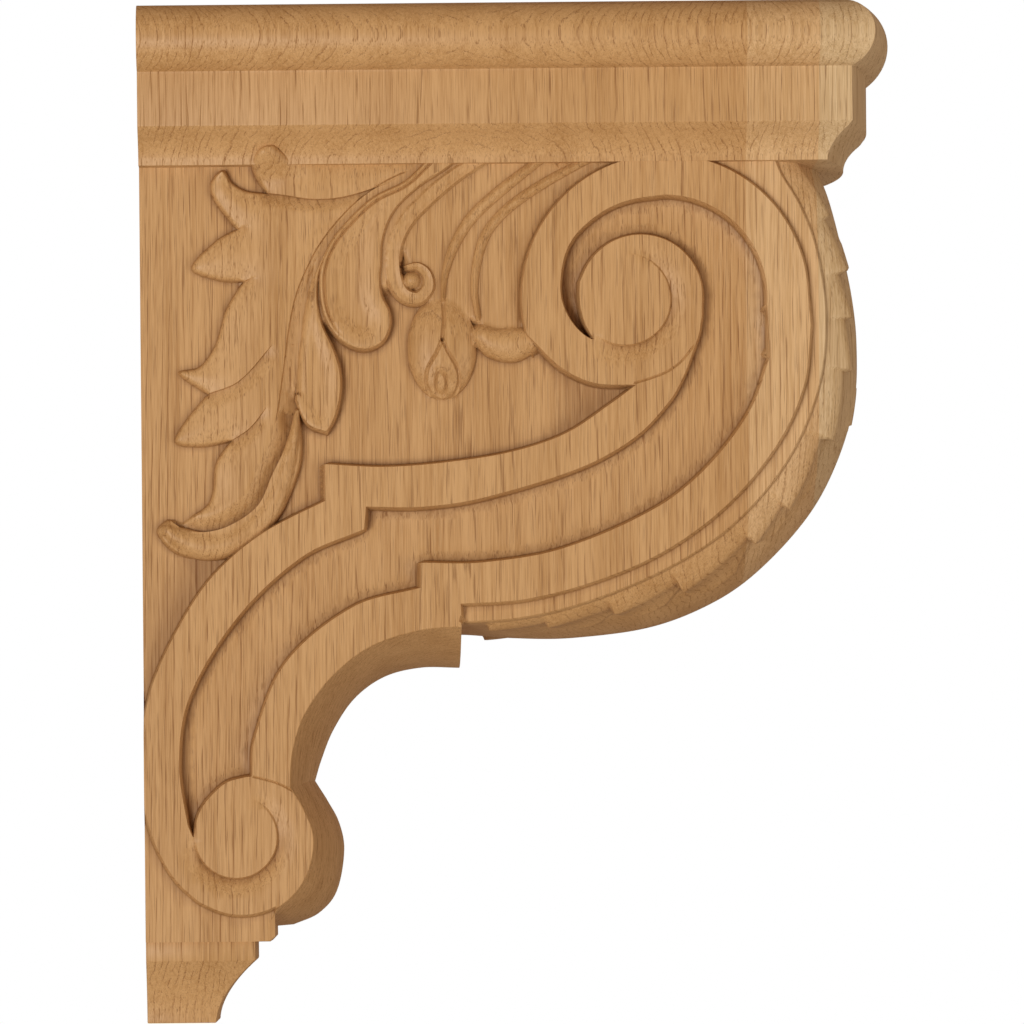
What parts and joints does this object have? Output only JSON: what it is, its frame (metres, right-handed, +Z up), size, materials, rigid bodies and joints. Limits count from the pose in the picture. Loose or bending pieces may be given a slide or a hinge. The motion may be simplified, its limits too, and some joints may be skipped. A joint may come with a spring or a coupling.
{
  "type": "wooden corbel bracket",
  "caption": "Carved wooden corbel bracket: double scroll with leaf carving on both sides and the front, a moulded bowed cap to carry a shelf or counter, and a small moulded foot.",
  "frame": {"origin": "centre of the flat back face, where the bracket meets the wall", "axes": "+X out from the wall, +Y across the width, +Z up to the cap"},
  "size_m": [0.2661, 0.1352, 0.356],
  "materials": {
    "oak": "pale tan straight-grained oak, sanded smooth, dull clear finish"
  },
  "bodies": {
    "root": {"carved_bracket": "oak"}
  },
  "joints": []
}
